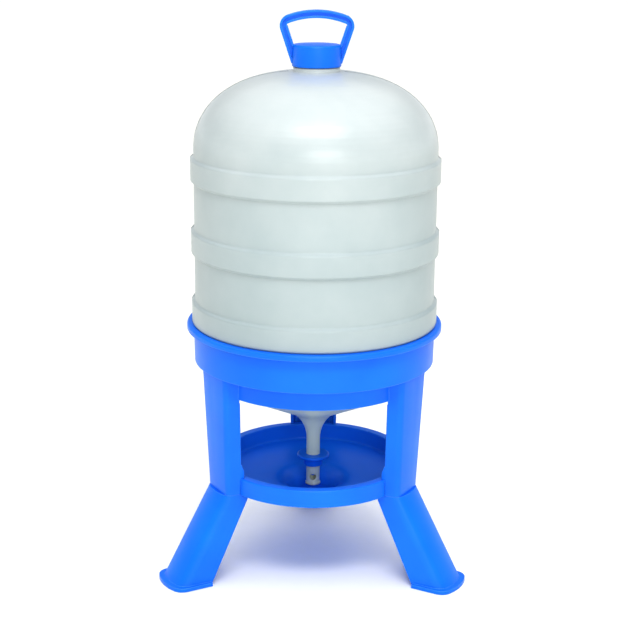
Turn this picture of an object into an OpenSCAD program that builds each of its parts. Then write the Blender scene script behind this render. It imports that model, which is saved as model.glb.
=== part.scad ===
// Siphon drinker for poultry. A translucent tank stands on a ring with three
// columns, and its spout hangs over an open bowl. Three splayed legs plug in
// below the columns. Millimetres, +Z up. The origin is on the drinker's vertical
// axis, level with the soles of its feet, and -Y is the front.

/* [Tank] */
// Outside diameter of the tank's wall
tank_d = 314.5; // [270:0.5:360]
// Height of the straight wall, from the seat on the stand to the shoulder
tank_wall_h = 227; // [215:1:330]
// Height of the rounded shoulder above the straight wall
dome_h = 100; // [75:1:120]
// How square the shoulder is: 2 is an ellipse, more is squarer
dome_power = 2.6; // [2:0.1:3.5]
// Thickness of the blow-moulded wall
tank_wall = 2.5; // [1.5:0.1:4]
// Number of stiffening hoops round the wall
hoop_count = 3; // [2:1:3]
// Height of one hoop's flat band
hoop_h = 27; // [16:1:36]
// How far a hoop stands out from the wall
hoop_proud = 4.2; // [2:0.1:6]
// Distance from one hoop to the next
hoop_pitch = 93.5; // [60:0.5:96]
// Slope of the tank's conical floor, in degrees
floor_slope = 25; // [18:1:28]

/* [Neck and cap] */
// Outside diameter of the neck under its thread
neck_d = 54; // [44:0.5:62]
// Height of the cap, without its handle
cap_h = 27.5; // [22:0.5:36]
// Thickness of the cap's side and top
cap_wall = 2.6; // [2:0.1:3.4]
// Greatest width of the carrying handle
handle_w = 93.6; // [84:0.2:120]
// Height of the handle above the cap
handle_h = 42.6; // [38:0.2:60]
// Depth of the handle's bar, seen from the front
handle_bar = 10; // [8:0.5:12]
// Thickness of the handle, front to back
handle_thick = 11; // [8:0.5:16]

/* [Spout and valve] */
// Outside diameter of the spout
spout_d = 18.4; // [14:0.2:24]
// Diameter of the two outlet holes
outlet_d = 8.6; // [6:0.2:9]
// How far the outlet holes hang below the bowl's rim, which sets the water level
outlet_drop = 30.2; // [26:0.1:31]
// Diameter of the finger flange on the sliding valve collar
collar_flange_d = 44; // [36:0.5:56]
// Thickness of the collar's wall round the spout
collar_wall = 3.4; // [3:0.1:5]
// Section of the rubber rings inside the collar
seal_section = 1.7; // [1.4:0.1:2]

/* [Stand] */
// How far the rolled rim stands out from the ring
rim_proud = 8.8; // [6:0.1:14]
// Height of the ring from its shelf to its rim
ring_h = 51.6; // [44:0.2:60]
// Radial width of the shelf between the ring and its skirt
shelf_w = 22; // [16:0.5:26]
// Depth of the skirt below the shelf
skirt_h = 29.4; // [22:0.2:34]
// Thickness of the injection-moulded walls
wall = 3; // [2.2:0.1:3.4]
// Height of the columns, from the legs to the ring's shelf
column_h = 162.8; // [130:0.2:200]
// Lean of a column's face, outwards as it rises, in degrees
column_lean = 2; // [0:0.1:3]
// Draft of a column's sides, apart as they rise, in degrees
column_draft = 2.3; // [0:0.1:3]
// Half the width of a column's face at its lower end
column_half = 27.6; // [22:0.2:33.2]
// How much wider than that each side is at the column's open inner side
column_spread = 3.8; // [2:0.5:9]
// Depth of a column, front to back
column_depth = 21.5; // [17:0.5:24]

/* [Bowl and legs] */
// Height of the bowl's skirt and rim above the legs
bowl_h = 22.9; // [19:0.1:28]
// How far the bowl's edge sits inside the faces of the columns
bowl_inset = 15.5; // [13:0.5:18.5]
// Width of the bowl's flat rim
bowl_rim_w = 12; // [10:0.5:14]
// Height of the legs, from the floor to the columns
leg_h = 119; // [101:0.2:146]
// Depth of the sump below the top of the legs
sump_depth = 46.6; // [39:0.1:56]
// Splay of a leg's face from the vertical, in degrees
leg_splay = 30.5; // [15:0.5:32]
// Splay of its open inner side, in degrees
leg_inner_splay = 26; // [12:0.5:29]
// How far the leg's top stands out round the column's end
leg_proud = 3.6; // [0.5:0.1:4]
// How far the foot's lip stands out round the leg
foot_lip = 4.5; // [3:0.5:8]
// Thickness of the foot's lip
foot_h = 5; // [3:0.5:8]

/* [Hidden] */
$fn = 96;

// Clearances between pieces
slide_gap = 0.08;
seal_gap = 0.1;
plug_gap = 0.3;
drop_in_gap = 1.4;
stack_gap = 1;
thread_gap = 1.7;

// Directions of the three columns, from +X
LEFT = -150;
RIGHT = -30;
BACK = 90;
COLUMNS = [LEFT, RIGHT, BACK];
BLUE = [0.13, 0.45, 0.95];

// Heights and radii of the stand ring
shelf_z = leg_h + column_h;
rim_z = shelf_z + ring_h;
skirt_z = shelf_z - skirt_h;
tank_r = tank_d / 2;
ring_r = tank_r + 2.3;
ring_draft = 0.9;
rim_r = ring_r + rim_proud;
rim_edge = 7.5;
skirt_r = ring_r - ring_draft - shelf_w;

// Heights and radii where columns, bowl and legs meet
face_setback = 6.4;
column_r = ring_r - ring_draft - face_setback - column_h * tan(column_lean);
bowl_r = column_r - bowl_inset;
bowl_z = leg_h + bowl_h;
sump_z = leg_h - sump_depth;
outlet_z = bowl_z - outlet_drop;

// Heights and radii of the tank
base_r = ring_r - wall - ring_draft - drop_in_gap;
spigot_r = skirt_r - wall - drop_in_gap / 2;
step_z = shelf_z + wall + stack_gap;
shoulder_z = rim_z + tank_wall_h;
hoop_slope = 3.5;
hoop_lift = 1.7;
spout_r = spout_d / 2;
flare_r = 44;
lip_proud = 1.1;
lip_h = 3;
outlet_rise = 11.3;
spout_end_z = outlet_z - outlet_rise;
cone_rise = (spigot_r - spout_r - flare_r * (1 - sin(floor_slope))) * tan(floor_slope);
flare_z = skirt_z - cone_rise - flare_r * cos(floor_slope);

// Heights and radii of the neck and cap
collar_ring_r = neck_d / 2 + 2.6;
dome_end = acos(pow(collar_ring_r / tank_r, dome_power / 2));
neck_foot_z = shoulder_z + dome_h * sin(dome_end);
cap_z = neck_foot_z + 5.8;
seal_t = 2.4;
neck_top_z = cap_z + cap_h - cap_wall - seal_t - 2 * seal_gap;
neck_bore_r = neck_d / 2 - tank_wall;
cap_bore_r = neck_d / 2 + thread_gap;
cap_r = cap_bore_r + cap_wall;
cap_top_z = cap_z + cap_h;
crown_h = 1.3;

// The sliding valve
collar_bore_r = spout_r + slide_gap;
collar_r = spout_r + collar_wall;
collar_drop = 24.3;
seal_pitch = outlet_d + seal_section + 0.9;
collar_mid_z = outlet_z + collar_drop;
collar_low_z = collar_mid_z - seal_pitch / 2 - seal_section / 2 - 1.4;
flange_h = 5;
collar_high_z = collar_mid_z + seal_pitch / 2 + seal_section / 2 + 1.4;

// The joint between column, bowl and leg
deep_top_z = leg_h + 41;
deep_low_z = leg_h + 28;
deep_extra = 4;
plug_h = 28;
plug_wall = 2.5;
lug_r = bowl_r + 4.5;
column_corner = 9;

function arc(x, y, r, from, to, steps) =
    [for (i = [0:steps]) let (a = from + (to - from) * i / steps) [x + r * cos(a), y + r * sin(a)]];

function reversed(points) = [for (i = [len(points) - 1:-1:0]) points[i]];

// ---------- tank ----------

// Outline of one hoop, from its lower slope to its upper one, on a wall of radius r
function hoop(r, z, inset) = [
    [r, z - hoop_slope + inset / 2],
    [r + hoop_proud, z + inset / 2],
    [r + hoop_proud, z + hoop_h - inset / 2],
    [r, z + hoop_h + hoop_slope - inset / 2]];

function hoop_z(i) = rim_z + hoop_lift + i * hoop_pitch;

// The tank's outline from its conical floor to its shoulder. The same function
// gives the outside with an inset of 0 and the inside with an inset of one wall.
function tank_outline(inset) = concat(
    [for (p = arc(spout_r + flare_r, flare_z, flare_r + inset, 180, 90 + floor_slope, 12)) p],
    [[spigot_r - inset, skirt_z + inset / cos(floor_slope)],
     [spigot_r - inset, step_z + inset],
     [base_r - 3 - inset, step_z + inset],
     [base_r - inset, step_z + 3 + inset],
     [base_r - inset, rim_z + inset],
     [tank_r + hoop_proud - 2 - inset, rim_z + inset],
     [tank_r + hoop_proud - inset, rim_z + 2 + inset]],
    [for (i = [0:hoop_count - 1], p = hoop(tank_r - inset, hoop_z(i), inset)) if (p[1] > rim_z + 5) p],
    [for (i = [0:20]) let (a = dome_end * i / 20)
        [(tank_r - inset) * pow(cos(a), 2 / dome_power), shoulder_z + (dome_h - inset) * sin(a)]]);

module tank_solid() {
    rotate_extrude()
        polygon(concat(
            [[0, spout_end_z], [spout_r + lip_proud, spout_end_z], [spout_r + lip_proud, spout_end_z + lip_h - 1],
             [spout_r, spout_end_z + lip_h]],
            tank_outline(0),
            [[collar_ring_r, cap_z - 0.7], [neck_d / 2, cap_z - 0.7], [neck_d / 2, neck_top_z - 0.8],
             [neck_d / 2 - 0.8, neck_top_z], [0, neck_top_z]]));
}

module tank_hollow() {
    rotate_extrude()
        polygon(concat(
            [[0, spout_end_z + tank_wall], [spout_r - tank_wall, spout_end_z + tank_wall]],
            tank_outline(tank_wall),
            [[neck_bore_r, neck_foot_z], [neck_bore_r, neck_top_z + 1], [0, neck_top_z + 1]]));
}

module tank() {
    color([0.88, 0.92, 0.93, 0.85])
    difference() {
        tank_solid();
        tank_hollow();
        // The outlet is drilled straight through, so it opens at the front and the back
        translate([0, 0, outlet_z])
            rotate([90, 0, 0])
                cylinder(h = spout_d + 4, d = outlet_d, center = true);
    }
}

// ---------- cap ----------

handle_corner = handle_bar + 4;
handle_top_z = cap_top_z + handle_h;
handle_arch = 109;
handle_foot_z = cap_z + 4;
arch_z = handle_top_z - handle_arch;
corner_x = handle_w / 2 - handle_corner;
corner_z = arch_z + sqrt(pow(handle_arch - handle_corner, 2) - pow(corner_x, 2));
leg_in = (handle_w / 2 - cap_r) * (corner_z - cap_z + handle_corner) / (corner_z - handle_foot_z);

// The loop's outline in a plane that holds the axis, moved inwards by inset
module handle_loop(inset) {
    arch_edge = corner_x * handle_arch / (handle_arch - handle_corner);
    hull()
        for (side = [-1, 1]) {
            translate([side * corner_x, corner_z])
                circle(r = handle_corner - inset, $fn = 64);
            translate([side * (corner_x - leg_in), cap_z - handle_corner])
                circle(r = handle_corner - inset, $fn = 64);
        }
    intersection() {
        translate([0, arch_z])
            circle(r = handle_arch - inset, $fn = 360);
        translate([-arch_edge, corner_z])
            square([2 * arch_edge, handle_arch]);
    }
}

// One layer of the handle: the strip of the loop between two insets
module handle_layer(thick, outer, inner) {
    rotate([90, 0, 0])
        linear_extrude(height = thick, center = true)
            difference() {
                handle_loop(outer);
                handle_loop(inner);
            }
}

module handle() {
    flange = 2.8;
    web = 4;
    difference() {
        union() {
            handle_layer(handle_thick, 0, flange);
            handle_layer(web, flange - 0.1, handle_bar - flange + 0.1);
            handle_layer(handle_thick, handle_bar - flange, handle_bar);
        }
        translate([-handle_w, -handle_w, handle_foot_z - handle_w])
            cube([2 * handle_w, 2 * handle_w, handle_w]);
    }
}

module cap() {
    round_r = 3;
    color(BLUE)
    difference() {
        union() {
            rotate_extrude()
                polygon(concat(
                    [[0, cap_z], [cap_r - 0.6, cap_z], [cap_r, cap_z + 0.8]],
                    arc(cap_r - round_r, cap_top_z - round_r, round_r, 0, 80, 8),
                    [[cap_r / 2, cap_top_z + crown_h * 0.75], [0, cap_top_z + crown_h]]));
            handle();
        }
        translate([0, 0, cap_z - 1])
            cylinder(h = cap_h - cap_wall + 1, r = cap_bore_r);
    }
}

module cap_seal() {
    color([0.12, 0.12, 0.13])
    translate([0, 0, neck_top_z + seal_gap])
        difference() {
            cylinder(h = seal_t, r = cap_bore_r - plug_gap);
            translate([0, 0, -1])
                cylinder(h = seal_t + 2, r = neck_bore_r - 4);
        }
}

// ---------- sliding valve ----------

module valve_collar() {
    groove_h = seal_section + 0.4;
    flange_r = collar_flange_d / 2;
    flange_z = collar_high_z - flange_h / 2;
    color(BLUE)
    rotate_extrude()
        difference() {
            union() {
                translate([collar_bore_r, collar_low_z])
                    square([collar_wall - slide_gap, collar_high_z - collar_low_z]);
                translate([collar_bore_r, collar_high_z - flange_h])
                    square([flange_r - flange_h / 2 - collar_bore_r, flange_h]);
                translate([flange_r - flange_h / 2, flange_z])
                    circle(d = flange_h);
            }
            for (side = [-1, 1])
                translate([collar_bore_r - 1, collar_mid_z + side * seal_pitch / 2 - groove_h / 2])
                    square([seal_section + seal_gap - slide_gap + 1, groove_h]);
        }
}

module valve_seal(z) {
    color([0.12, 0.12, 0.13])
    translate([0, 0, z])
        rotate_extrude()
            translate([spout_r + seal_gap + seal_section / 2, 0])
                circle(d = seal_section, $fn = 48);
}

module valve_seal_upper() {
    valve_seal(collar_mid_z + seal_pitch / 2);
}

module valve_seal_lower() {
    valve_seal(collar_mid_z - seal_pitch / 2);
}

// ---------- the channel that columns and legs are made of ----------

// Sections are drawn with the face's middle at [0, 0] and the face curved about
// [-face_r, 0]. The straight sides spread by spread for each millimetre of depth.
function side_corner(face_r, half) = [sqrt(face_r * face_r - half * half) - face_r, half];

function side_along(spread) = [1, -spread] / norm([1, -spread]);

// Centre of the round corner between the curved face and a straight side
function corner_centre(face_r, half, spread, corner) =
    let (
        along = side_along(spread),
        p = side_corner(face_r, half) + corner * [along[1], -along[0]] + [face_r, 0],
        k = p * along,
        reach = sqrt(k * k - p * p + pow(face_r - corner, 2)) - k)
    p + reach * along - [face_r, 0];

// Section of a solid channel with a curved face, round corners and straight
// sides: up one side, round its corner, over half the face, and mirrored
function channel_half(face_r, half, spread, depth, corner) =
    let (
        along = side_along(spread),
        b = side_corner(face_r, half),
        a = b - (depth + b[0]) / along[0] * along,
        c = corner_centre(face_r, half, spread, corner),
        side_angle = atan2(along[0], -along[1]),
        face_angle = atan2(c[1], c[0] + face_r))
    concat([a], arc(c[0], c[1], corner, side_angle, face_angle, 7),
        [for (i = [1:5]) let (t = face_angle * (1 - i / 6)) [face_r * (cos(t) - 1), face_r * sin(t)]]);

module channel_section(face_r, half, spread, depth, corner) {
    upper = channel_half(face_r, half, spread, depth, corner);
    polygon(concat(upper, [[0, 0]], [for (p = reversed(upper)) [p[0], -p[1]]]));
}

// A channel that leans by lean while its sides draw apart by flare: its face
// passes through face_x at the height leg_h. Inset moves face and sides inwards.
module leaning_channel(bottom, top, face_x, face_r, lean, flare, half, spread, depth, corner, inset) {
    spare = 60;
    side_inset = inset * norm([1, spread]);
    intersection() {
        translate([face_x, 0, leg_h])
            rotate([0, lean, 0])
                for (turn = flare > 0 ? [-flare, 0, flare] : [0])
                    rotate([turn, 0, 0])
                        translate([-inset, 0, bottom - leg_h - spare])
                            linear_extrude(height = top - bottom + 2 * spare)
                                channel_section(face_r - inset, half - side_inset, spread,
                                    depth - inset, max(corner - inset, 1));
        translate([0, -2 * half, bottom])
            cube([2 * column_r, 4 * half, top - bottom]);
    }
}

// The outer form of a column, moved inwards by inset
module column_form(bottom, top, depth, inset) {
    leaning_channel(bottom, top, column_r, column_r, column_lean, column_draft, column_half,
        column_spread / column_depth, depth, column_corner, inset);
}

// ---------- stand ----------

module ring() {
    lip_wall = wall - 0.4;
    lip_round = 3.2;
    top_r = ring_r;
    low_r = ring_r - ring_draft;
    rotate_extrude()
        polygon(concat(
            [[skirt_r - wall, skirt_z], [skirt_r, skirt_z], [skirt_r, shelf_z], [low_r, shelf_z],
             [top_r, rim_z - wall], [rim_r - lip_wall, rim_z - wall], [rim_r - lip_wall, rim_z - rim_edge],
             [rim_r, rim_z - rim_edge]],
            arc(rim_r - lip_round, rim_z - lip_round, lip_round, 0, 90, 8),
            [[top_r - wall, rim_z], [low_r - wall, shelf_z + wall], [skirt_r - wall, shelf_z + wall]]));
}

// What trims the deep lower part of a column: its inner edge swings out in an
// even curve from full depth at deep_low_z to the normal depth at deep_top_z
module deep_trim() {
    full_x = column_r - column_depth - deep_extra;
    steps = 8;
    curve = [for (i = [0:steps]) let (t = i / steps)
        [full_x + deep_extra * (1 - cos(180 * t)) / 2, deep_low_z + (deep_top_z - deep_low_z) * t]];
    rotate([90, 0, 0])
        linear_extrude(height = 4 * column_half, center = true)
            polygon(concat([[0, leg_h - 1], [full_x, leg_h - 1]], curve,
                [[full_x + deep_extra, deep_top_z + 1], [0, deep_top_z + 1]]));
}

module column() {
    way_in = 5;
    difference() {
        union() {
            column_form(leg_h, shelf_z + wall / 2, column_depth, 0);
            difference() {
                column_form(leg_h, deep_top_z, column_depth + deep_extra, 0);
                deep_trim();
            }
        }
        difference() {
            column_form(leg_h - 1, shelf_z - wall / 2, column_depth + 3 * deep_extra, wall);
            cylinder(h = rim_z, r = 80);
        }
        // The tank's spigot passes inside the columns
        translate([0, 0, skirt_z - way_in])
            cylinder(h = rim_z, r = skirt_r - wall / 2);
    }
}

module stand_frame() {
    color(BLUE)
    union() {
        ring();
        for (direction = COLUMNS)
            rotate([0, 0, direction])
                column();
    }
}

// ---------- bowl ----------

bowl_wall = 2.8;
bowl_in_r = bowl_r - bowl_rim_w;
bowl_floor_z = leg_h + 0.8;
trumpet_x = 58;
trumpet_r = 28;
trumpet_z = bowl_floor_z - 9 - trumpet_r;
sump_round = 8;
sump_r = trumpet_x - trumpet_r;

// Section of the pan, from the rim's outer edge inwards along the water side
// and back along the underside
function pan_side(t) = concat(
    arc(trumpet_x, trumpet_z, trumpet_r - t, 98, 180, 10),
    arc(sump_r - sump_round, sump_z + bowl_wall + sump_round, sump_round + t, 0, -90, 6),
    [[0, sump_z + bowl_wall - t]]);

module pan() {
    fillet = 4;
    rotate_extrude()
        polygon(concat(
            [[bowl_r - bowl_wall, leg_h], [bowl_r, leg_h]],
            arc(bowl_r - 2, bowl_z - 2, 2, 0, 90, 4),
            arc(bowl_in_r + 1.2, bowl_z - 1.2, 1.2, 90, 180, 4),
            arc(bowl_in_r - 1.5 - fillet, bowl_floor_z + fillet, fillet, 0, -82, 6),
            pan_side(0),
            reversed(pan_side(bowl_wall)),
            [[bowl_in_r - 6, bowl_floor_z - bowl_wall],
             [bowl_in_r + bowl_wall - 1.5, bowl_floor_z + 1],
             [bowl_in_r + bowl_wall, bowl_z - bowl_wall],
             [bowl_r - bowl_wall, bowl_z - bowl_wall]]));
}

// A hollow lug that reaches into a column and locks the leg's plug there
module bowl_lug() {
    lug_half = column_half - wall - plug_wall - 2 * plug_gap;
    lug_top = leg_h + 20;
    difference() {
        translate([bowl_r - bowl_wall / 2, -lug_half, leg_h])
            cube([lug_r - bowl_r + bowl_wall / 2, 2 * lug_half, lug_top - leg_h]);
        translate([bowl_r - bowl_wall, -lug_half + bowl_wall, leg_h - 1])
            cube([lug_r - bowl_r, 2 * (lug_half - bowl_wall), lug_top - leg_h - bowl_wall + 1]);
    }
}

// What a column's side walls cut out of the bowl's rim and skirt
module column_slots() {
    slot_gap = 0.6;
    spread = column_spread / column_depth;
    difference() {
        leaning_channel(leg_h - 1, bowl_z + 1, column_r, column_r, column_lean, 0,
            column_half + bowl_h * tan(column_draft), spread, column_depth + deep_extra + 1,
            column_corner, -slot_gap);
        leaning_channel(leg_h - 2, bowl_z + 2, column_r, column_r, column_lean, 0, column_half,
            spread, column_depth + 4 * deep_extra, column_corner, wall + slot_gap);
    }
}

module bowl() {
    color(BLUE)
    difference() {
        union() {
            pan();
            for (direction = COLUMNS)
                rotate([0, 0, direction])
                    bowl_lug();
        }
        for (direction = COLUMNS)
            rotate([0, 0, direction])
                column_slots();
    }
}

// ---------- legs ----------

foot_r = column_r + leg_proud + leg_h * tan(leg_splay);
heel_r = column_r - column_depth - 9;
heel_z = leg_h - 8;
leg_half = column_half + 1.4;
leg_corner = 14;
leg_face_r = 80;
leg_spread = 0.05;
leg_reach = 60;
foot_half = leg_half + 4.8;
foot_corner = 16;
foot_face_r = 70;
foot_in_r = heel_r + heel_z * tan(leg_inner_splay);

// The leg seen from the side, as wide as the stand: upright at its heel, where
// a slope would run on under the bowl, and then splayed to the foot
module leg_side_view(bottom, top) {
    rotate([90, 0, 0])
        linear_extrude(height = 2 * column_r, center = true)
            polygon([[2 * foot_r, top], [heel_r, top], [heel_r, heel_z],
                [heel_r + (heel_z - bottom) * tan(leg_inner_splay), bottom], [2 * foot_r, bottom]]);
}

// The leg's solid channel, moved inwards by inset and reaching in under the bowl
module leg_channel(bottom, top, inset) {
    leaning_channel(bottom, top, column_r + leg_proud, leg_face_r, -leg_splay, 0, leg_half,
        leg_spread, leg_reach, leg_corner, inset);
}

// The space that the bowl's floor takes up, grown by extra
module bowl_space(extra) {
    translate([0, 0, bowl_floor_z - bowl_wall - stack_gap - extra])
        cylinder(h = rim_z, r = bowl_in_r + bowl_wall + stack_gap + extra);
}

// The plug that goes up inside the column
module leg_plug() {
    top = leg_h + plug_h;
    difference() {
        column_form(leg_h - wall / 2, top, column_depth, wall + plug_gap);
        column_form(leg_h - wall - 1, top + 1, column_depth + 2 * deep_extra, wall + plug_gap + plug_wall);
        cylinder(h = rim_z, r = lug_r + plug_gap);
    }
}

// The flat lip that runs round the foot of the leg
module foot() {
    translate([foot_r + foot_lip, 0, 0])
        linear_extrude(height = foot_h)
            channel_section(foot_face_r, foot_half, 0.02, foot_r + foot_lip - foot_in_r, foot_corner);
}

// A cross web that stiffens the open side of the leg
module leg_web() {
    web_z = leg_h * 0.45;
    web_t = wall - 0.6;
    web_setback = 8;
    difference() {
        leg_channel(web_z, web_z + web_t, 1);
        translate([0, -column_r, web_z - 1])
            cube([heel_r + (heel_z - web_z) * tan(leg_inner_splay) + web_setback, 2 * column_r, web_t + 2]);
    }
}

module leg(direction) {
    color(BLUE)
    rotate([0, 0, direction])
        union() {
            difference() {
                union() {
                    intersection() {
                        leg_channel(0, leg_h, 0);
                        leg_side_view(0, leg_h);
                    }
                    foot();
                }
                difference() {
                    leg_channel(-1, leg_h - wall, wall);
                    translate([0, -column_r, -2])
                        cube([heel_r + wall, 2 * column_r, leg_h]);
                    bowl_space(wall);
                }
                bowl_space(0);
            }
            leg_plug();
            leg_web();
        }
}

module leg_front_left() {
    leg(LEFT);
}

module leg_front_right() {
    leg(RIGHT);
}

module leg_back() {
    leg(BACK);
}

tank();
cap();
cap_seal();
valve_collar();
valve_seal_upper();
valve_seal_lower();
stand_frame();
bowl();
leg_front_left();
leg_front_right();
leg_back();
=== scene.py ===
"""A poultry waterer: a blow-moulded drinker tank held in a moulded three-legged stand."""

import math

import bmesh
import bpy
from mathutils import Matrix, Vector
from mathutils.bvhtree import BVHTree


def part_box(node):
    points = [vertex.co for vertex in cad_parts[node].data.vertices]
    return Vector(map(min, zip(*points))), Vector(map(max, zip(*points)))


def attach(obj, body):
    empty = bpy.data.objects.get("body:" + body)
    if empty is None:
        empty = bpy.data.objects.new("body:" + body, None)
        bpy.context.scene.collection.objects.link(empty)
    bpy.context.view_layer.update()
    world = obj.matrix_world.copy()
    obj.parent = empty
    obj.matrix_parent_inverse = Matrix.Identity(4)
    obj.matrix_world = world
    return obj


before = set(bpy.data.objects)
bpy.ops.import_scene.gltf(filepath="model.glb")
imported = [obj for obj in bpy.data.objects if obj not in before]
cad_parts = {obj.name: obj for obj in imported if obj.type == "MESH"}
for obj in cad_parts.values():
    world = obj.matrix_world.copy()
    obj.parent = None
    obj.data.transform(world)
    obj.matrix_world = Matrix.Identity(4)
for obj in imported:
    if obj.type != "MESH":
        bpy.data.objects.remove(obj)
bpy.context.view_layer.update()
scene = bpy.context.scene
MM = 0.001


# ---------- small tools ----------

def colour(hex_code):
    """An sRGB hex colour as the linear colour that shaders use."""
    channels = [int(hex_code[i:i + 2], 16) / 255 for i in (1, 3, 5)]
    return [c / 12.92 if c <= 0.04045 else ((c + 0.055) / 1.055) ** 2.4 for c in channels] + [1]


def add(tree, kind, inputs=None, **settings):
    """Adds one shader node; an input takes a value, or the output of another node.

    Inputs go by name, or by number where names repeat: a Mix's colours are 6 and 7."""
    node = tree.nodes.new("ShaderNode" + kind)
    for name, value in settings.items():
        setattr(node, name, value)
    for name, value in (inputs or {}).items():
        if isinstance(value, bpy.types.NodeSocket):
            tree.links.new(value, node.inputs[name])
        else:
            node.inputs[name].default_value = value
    return node


def new_material(name):
    """An empty node material, and its tree."""
    material = bpy.data.materials.new(name)
    material.use_nodes = True
    material.node_tree.nodes.clear()
    return material, material.node_tree


def shade_steps(tree, factor, steps):
    """A colour ramp from (place, hex colour) steps."""
    ramp = add(tree, "ValToRGB", {0: factor})
    points = ramp.color_ramp.elements
    while len(points) < len(steps):
        points.new(0.5)
    for point, (place, hex_code) in zip(points, steps):
        point.position = place
        point.color = colour(hex_code)
    return ramp.outputs["Color"]


def spread(tree, factor, low, high):
    """Turns a 0 to 1 pattern into the range low to high."""
    return add(tree, "MapRange", {0: factor, "To Min": low, "To Max": high}).outputs[0]


# ---------- materials ----------

def moulded_polypropylene():
    """Blue polypropylene, injection moulded in a lightly spark-eroded tool: a satin skin with soft
    wide highlights, a fine grain, and slow waves where thick sections have shrunk."""
    material, tree = new_material("blue_polypropylene_moulded")
    place = add(tree, "TexCoord").outputs["Object"]
    # flow of the melt: broad patches, about 90 mm across, a shade apart
    flow = add(tree, "TexNoise", {"Vector": place, "Scale": 11, "Detail": 3, "Roughness": 0.5}).outputs[0]
    skin = shade_steps(tree, flow, [(0.35, "#0C70E6"), (0.65, "#1178ED")])
    # edges rubbed by stacking and handling turn a little paler and duller
    rounded = add(tree, "Bevel", {"Radius": 2 * MM}, samples=6).outputs[0]
    flat = add(tree, "NewGeometry").outputs["Normal"]
    turn = add(tree, "VectorMath", {0: rounded, 1: flat}, operation="DOT_PRODUCT").outputs["Value"]
    scuffs = add(tree, "TexNoise", {"Vector": place, "Scale": 160, "Detail": 4, "Roughness": 0.7}).outputs[0]
    edge = add(tree, "MapRange", {0: turn, 1: 0.99, 2: 0.86, 3: 0, 4: 1}).outputs[0]
    rubbed = add(tree, "Math", {0: edge, 1: scuffs}, operation="MULTIPLY").outputs[0]
    worn = add(tree, "Mix", {0: rubbed, 6: skin, 7: colour("#5FA4FF")}, data_type="RGBA").outputs[2]
    # the tool's grain is 0.3 mm; drawn at 1 mm so that it shows
    grain = add(tree, "TexNoise", {"Vector": place, "Scale": 1000, "Detail": 2, "Roughness": 0.6}).outputs[0]
    sink = add(tree, "TexNoise", {"Vector": place, "Scale": 22, "Detail": 1}).outputs[0]
    waves = add(tree, "Bump", {
        "Strength": 0.35, "Distance": 0.5 * MM, "Height": sink, "Normal": rounded}).outputs[0]
    surface = add(tree, "Bump", {
        "Strength": 0.22, "Distance": 0.08 * MM, "Height": grain, "Normal": waves}).outputs[0]
    patchy = add(tree, "TexNoise", {"Vector": place, "Scale": 45, "Detail": 4, "Roughness": 0.65}).outputs[0]
    shader = add(tree, "BsdfPrincipled", {
        "Base Color": worn, "Roughness": spread(tree, patchy, 0.26, 0.42), "IOR": 1.49,
        "Specular IOR Level": 0.25, "Normal": surface})
    add(tree, "OutputMaterial", {"Surface": shader.outputs[0]})
    return material


def blown_polyethylene():
    """Natural high-density polyethylene, extrusion blow moulded: milky, faintly cool, with a waxy
    sheen, cloudy thick and thin areas, and faint upright lines drawn by the extruder's die."""
    material, tree = new_material("natural_polyethylene_blown")
    place = add(tree, "TexCoord").outputs["Object"]
    # painted shade and light by height: the tank is painted darker towards its foot, where the stand's ring
    # shades it, and lighter on the dome, which faces the lamps; the spout below is given a paler, greener
    # tone
    height = add(tree, "SeparateXYZ", {0: place}).outputs["Z"]
    level = add(tree, "MapRange", {0: height, 1: 0.1, 2: 0.7}).outputs[0]
    painted_height_shade = shade_steps(tree, level, [(0.0, "#D6DFD2"), (0.2, "#CCD8CC"), (0.28, "#A2AEB0"),
                                      (0.62, "#AFB9BA"), (0.9, "#BDC3C3")])
    cloud = add(tree, "TexNoise", {"Vector": place, "Scale": 9, "Detail": 4, "Roughness": 0.55}).outputs[0]
    veil = shade_steps(tree, cloud, [(0.3, "#EEF2F3"), (0.7, "#FFFFFF")])
    # the cloudy milky tone multiplied by the painted shade by height
    milk_with_painted_shade = add(tree, "Mix", {0: 1, 6: painted_height_shade, 7: veil}, data_type="RGBA", blend_type="MULTIPLY").outputs[2]
    # die lines: close round the tank, long up its height
    stretched = add(tree, "Mapping", {"Vector": place, "Scale": (260, 260, 3)}).outputs[0]
    lines = add(tree, "TexNoise", {"Vector": stretched, "Scale": 1, "Detail": 2}).outputs[0]
    # the wall cools unevenly, so it is wavy over about 40 mm; its fine grain is near 1 mm
    wobble = add(tree, "TexNoise", {"Vector": place, "Scale": 26, "Detail": 2, "Roughness": 0.45}).outputs[0]
    grain = add(tree, "TexNoise", {"Vector": place, "Scale": 900, "Detail": 2, "Roughness": 0.6}).outputs[0]
    rounded = add(tree, "Bevel", {"Radius": 3.5 * MM}, samples=6).outputs[0]
    waves = add(tree, "Bump", {
        "Strength": 0.5, "Distance": 0.9 * MM, "Height": wobble, "Normal": rounded}).outputs[0]
    drawn = add(tree, "Bump", {
        "Strength": 0.12, "Distance": 0.2 * MM, "Height": lines, "Normal": waves}).outputs[0]
    surface = add(tree, "Bump", {
        "Strength": 0.18, "Distance": 0.07 * MM, "Height": grain, "Normal": drawn}).outputs[0]
    patchy = add(tree, "TexNoise", {"Vector": place, "Scale": 30, "Detail": 4, "Roughness": 0.6}).outputs[0]
    shader = add(tree, "BsdfPrincipled", {
        "Base Color": milk_with_painted_shade, "Roughness": spread(tree, patchy, 0.26, 0.4), "IOR": 1.54,
        "Normal": surface})
    add(tree, "OutputMaterial", {"Surface": shader.outputs[0]})
    return material


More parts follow.
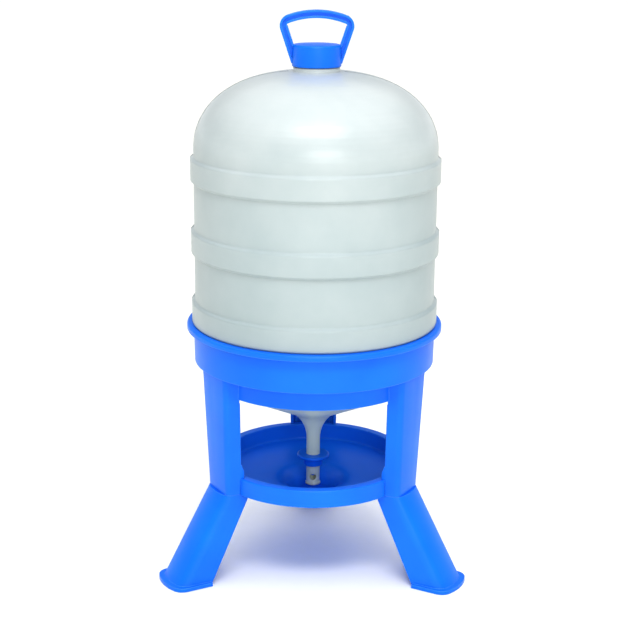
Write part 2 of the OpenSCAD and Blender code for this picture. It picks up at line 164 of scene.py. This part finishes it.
def nitrile_rubber():
    """Black nitrile rubber, compression moulded: near black, matt, slightly dusty."""
    material, tree = new_material("black_nitrile_rubber")
    place = add(tree, "TexCoord").outputs["Object"]
    dust = add(tree, "TexNoise", {"Vector": place, "Scale": 300, "Detail": 5, "Roughness": 0.7}).outputs[0]
    skin = shade_steps(tree, dust, [(0.4, "#17181A"), (0.75, "#2B2C2E")])
    surface = add(tree, "Bump", {"Strength": 0.3, "Distance": 0.1 * MM, "Height": dust}).outputs[0]
    shader = add(tree, "BsdfPrincipled", {
        "Base Color": skin, "Roughness": spread(tree, dust, 0.5, 0.7), "IOR": 1.52,
        "Normal": surface})
    add(tree, "OutputMaterial", {"Surface": shader.outputs[0]})
    return material


def pale_floor():
    """Smooth white laminate under the stand."""
    material, tree = new_material("white_laminate_floor")
    place = add(tree, "TexCoord").outputs["Object"]
    fine = add(tree, "TexNoise", {"Vector": place, "Scale": 60, "Detail": 3}).outputs[0]
    tone = shade_steps(tree, fine, [(0.3, "#FBFAF4"), (0.7, "#FDFCF7")])
    shader = add(tree, "BsdfPrincipled", {"Base Color": tone, "Roughness": 0.85, "IOR": 1.45})
    add(tree, "OutputMaterial", {"Surface": shader.outputs[0]})
    return material


blue = moulded_polypropylene()
milky = blown_polyethylene()
rubber = nitrile_rubber()

FINISHES = {
    "tank": milky, "cap": blue, "cap_seal": rubber, "valve_collar": blue,
    "valve_seal_upper": rubber, "valve_seal_lower": rubber, "stand_frame": blue, "bowl": blue,
    "leg_front_left": blue, "leg_front_right": blue, "leg_back": blue,
}
for name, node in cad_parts.items():
    node.data.materials.clear()
    node.data.materials.append(FINISHES[name])


# ---------- pieces beside the CAD nodes ----------

def new_piece(name, mesh_data, finish, body):
    """Makes a smooth-shaded object from a bmesh, riding on a body."""
    mesh = bpy.data.meshes.new(name)
    bmesh.ops.recalc_face_normals(mesh_data, faces=mesh_data.faces)
    mesh_data.to_mesh(mesh)
    mesh_data.free()
    mesh.shade_smooth()
    mesh.materials.append(finish)
    piece = bpy.data.objects.new(name, mesh)
    scene.collection.objects.link(piece)
    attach(piece, body)


def skin_rows(mesh_data, rows):
    """Joins rows of points, each a closed outline, into a tube with closed ends."""
    made = [[mesh_data.verts.new(point) for point in row] for row in rows]
    count = len(rows[0])
    for low, high in zip(made, made[1:]):
        for k in range(count):
            mesh_data.faces.new((low[k], low[(k + 1) % count], high[(k + 1) % count], high[k]))
    mesh_data.faces.new(made[0])
    mesh_data.faces.new(reversed(made[-1]))


def surface_of(node_name):
    """A CAD node's surface, for rays to probe."""
    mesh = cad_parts[node_name].data
    return BVHTree.FromPolygons([v.co for v in mesh.vertices], [p.vertices for p in mesh.polygons])


def on_circle(radius, angle, z):
    """A point at a radius and an angle round the upright axis."""
    return (radius * math.cos(angle), radius * math.sin(angle), z)


# The neck and the cap share one right-handed thread; the cap's ridge runs between the neck's turns.
NECK_R = 27 * MM
CAP_BORE_R = 28.7 * MM
THREAD_RISE = 1.2 * MM
THREAD_ROOT = 0.18 * MM
THREAD_PITCH = 8 * MM
THREAD_TURNS = 1.75
THREAD_W = 3 * MM
THREAD_STEPS = 64
THREAD_ACROSS = 6
NECK_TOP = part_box("tank")[1][2]
THREAD_START = NECK_TOP - 19 * MM


def screw_thread(name, wall_r, way, low_z, finish, body):
    """A rounded helical ridge on a wall, outward (way 1) or inward (way -1), faded at both ends."""
    count = int(THREAD_STEPS * THREAD_TURNS)
    fade = THREAD_STEPS / 8
    rows = []
    for step in range(count + 1):
        turn = step / THREAD_STEPS
        height = THREAD_RISE * max(0.02, min(1, step / fade, (count - step) / fade))
        row = []
        for k in range(THREAD_ACROSS + 1):
            t = k / THREAD_ACROSS
            on_wall = k in (0, THREAD_ACROSS)
            proud = -THREAD_ROOT if on_wall else height * math.sin(math.pi * t) ** 0.6
            z = low_z + THREAD_PITCH * turn + THREAD_W * (t - 0.5)
            row.append(on_circle(wall_r + way * proud, math.tau * turn, z))
        rows.append(row)
    ridge = bmesh.new()
    skin_rows(ridge, rows)
    new_piece(name, ridge, finish, body)


screw_thread("neck_thread", NECK_R, 1, THREAD_START, milky, "tank")
screw_thread("cap_thread", CAP_BORE_R, -1, THREAD_START + THREAD_PITCH / 2, blue, "cap")


SEAM_H = 0.5 * MM
SEAM_W = 1.1 * MM
SEAM_SUNK = 0.3 * MM
SEAM_STEP = 1 * MM
# the line starts below the stand's rim, turns over the shoulder, and ends short of the neck
SEAM_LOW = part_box("stand_frame")[1][2] - 4 * MM
SHOULDER = NECK_TOP - 122 * MM
SEAM_END_R = NECK_R + 8 * MM
DOME_DEGREES = 74
# rays start this far from the axis, outside the tank
PROBE_FROM = 0.3


def seam_probes(side):
    """Rays that walk up one side of the tank and over its dome: (start, direction) pairs."""
    probes = []
    z = SEAM_LOW
    while z < SHOULDER:
        probes.append((Vector((side * PROBE_FROM, 0, z)), Vector((-side, 0, 0))))
        z += SEAM_STEP
    for degrees in range(DOME_DEGREES):
        slope = math.radians(degrees)
        out = Vector((side * math.cos(slope), 0, math.sin(slope)))
        probes.append((Vector((0, 0, SHOULDER)) + out * PROBE_FROM, -out))
    return probes


def parting_line(name, side):
    """The fine raised line that the two halves of the blow mould leave up one side of the tank."""
    skin = surface_of("tank")
    across = Vector((0, SEAM_W / 2, 0))
    rows = []
    for start, direction in seam_probes(side):
        point, normal = skin.ray_cast(start, direction)[:2]
        if point is None or abs(point.x) < SEAM_END_R:
            continue
        outward = Vector((normal.x, 0, normal.z)).normalized()
        foot = point - outward * SEAM_SUNK
        flank = point + outward * SEAM_H * 0.6
        crest = point + outward * SEAM_H
        rows.append([foot - across, flank - across / 2, crest, flank + across / 2, foot + across])
    ridge = bmesh.new()
    skin_rows(ridge, rows)
    new_piece(name, ridge, milky, "tank")


parting_line("parting_line_left", -1)
parting_line("parting_line_right", 1)


# the button and its ring in outline: share of the radius, and height in mm
GATE_OUTLINE = [(0.35, 0.85), (0.52, 0.6), (0.58, 0.22), (0.7, 0.12), (0.82, 0.3), (0.95, 0.3),
                (1.0, -0.25)]
GATE_SIDES = 24


def gate_mark(name, node_name, start, direction, radius):
    """The small domed button left where the moulding's gate was cut off, in a shallow ring."""
    point, normal = surface_of(node_name).ray_cast(Vector(start), Vector(direction))[:2]
    if normal.dot(Vector(direction)) > 0:
        normal = -normal
    turned = normal.to_track_quat("Z", "Y").to_matrix()
    rings = []
    for share, height in GATE_OUTLINE:
        ring = [on_circle(share * radius, math.tau * k / GATE_SIDES, height * MM) for k in range(GATE_SIDES)]
        rings.append([point + turned @ Vector(corner) for corner in ring])
    mark = bmesh.new()
    skin_rows(mark, rings)
    new_piece(name, mark, blue, "stand")


gate_mark("bowl_gate_mark", "bowl", (0, 0, 1 * MM), (0, 0, 1), 5 * MM)
LEG_TURNS = {"leg_front_left": 210, "leg_front_right": 330, "leg_back": 90}
for name, degrees in LEG_TURNS.items():
    gate_mark(name + "_gate_mark", name, (0, 0, 50 * MM), on_circle(1, math.radians(degrees), 0), 4 * MM)


# ---------- floor, light, camera ----------

FLOOR_HALF = 60
FLOOR_GAP = 0.3 * MM


def floor_sheet():
    """A wide flat floor, a hair below the feet."""
    mesh = bpy.data.meshes.new("floor")
    corners = [(x * FLOOR_HALF, y * FLOOR_HALF, 0) for x, y in ((-1, -1), (1, -1), (1, 1), (-1, 1))]
    mesh.from_pydata(corners, [], [(0, 1, 2, 3)])
    floor = bpy.data.objects.new("floor", mesh)
    scene.collection.objects.link(floor)
    mesh.materials.append(pale_floor())
    floor.location.z = -FLOOR_GAP


def softbox(name, centre, aim, width, height, power):
    """A soft white light panel at centre, turned to face aim."""
    panel = bpy.data.lights.new(name, "AREA")
    panel.shape = "RECTANGLE"
    panel.size = width
    panel.size_y = height
    panel.energy = power
    lamp = bpy.data.objects.new(name, panel)
    lamp.location = centre
    lamp.rotation_euler = (Vector(aim) - Vector(centre)).to_track_quat("-Z", "Y").to_euler()
    scene.collection.objects.link(lamp)


def studio_sky():
    """A white tent: brightest overhead, dim at mid height, and pale again at the horizon."""
    world = bpy.data.worlds.new("white_tent")
    scene.world = world
    world.use_nodes = True
    tree = world.node_tree
    tree.nodes.clear()
    direction = add(tree, "TexCoord").outputs["Generated"]
    height = add(tree, "SeparateXYZ", {0: direction}).outputs["Z"]
    tone = shade_steps(tree, height, [
        (0.0, "#F0F1F2"), (0.1, "#D2D4D6"), (0.25, "#6C6E70"), (0.45, "#7E8082"),
        (0.75, "#DEDFE0"), (1.0, "#FFFFFF")])
    light = add(tree, "Background", {"Color": tone, "Strength": 1.8})
    add(tree, "OutputWorld", {"Surface": light.outputs[0]})


# The camera stands in front of the tank and a little above its top, and looks down.
# Places are in metres, the tilt in degrees and the roll in radians.
CAMERA_SIDE = -0.0005
CAMERA_BACK = 1.817
CAMERA_HEIGHT = 0.8464
CAMERA_DOWN = 15.57
CAMERA_ROLL = 0.0092
FILM_MM = 36
LENS_MM = 81.516
SEES_TO = 200

camera = bpy.data.cameras.new("camera")
camera.sensor_width = FILM_MM
camera.lens = LENS_MM
camera.clip_end = SEES_TO
viewer = bpy.data.objects.new("camera", camera)
scene.collection.objects.link(viewer)
viewer.matrix_world = (
    Matrix.Translation((CAMERA_SIDE, -CAMERA_BACK, CAMERA_HEIGHT))
    @ Matrix.Rotation(math.radians(90 - CAMERA_DOWN), 4, "X")
    @ Matrix.Rotation(CAMERA_ROLL, 4, "Z"))
scene.camera = viewer

floor_sheet()
studio_sky()
softbox("high_front", (0.1, -1.6, 2.6), (0, 0, 0.5), 1.7, 0.6, 34)
softbox("low_front", (0.3, -2.3, 1.1), (0, 0, 0.12), 1.2, 0.5, 16)
scene.view_settings.view_transform = "Standard"
# a little more contrast than the eye's own curve gives
scene.view_settings.gamma = 0.85
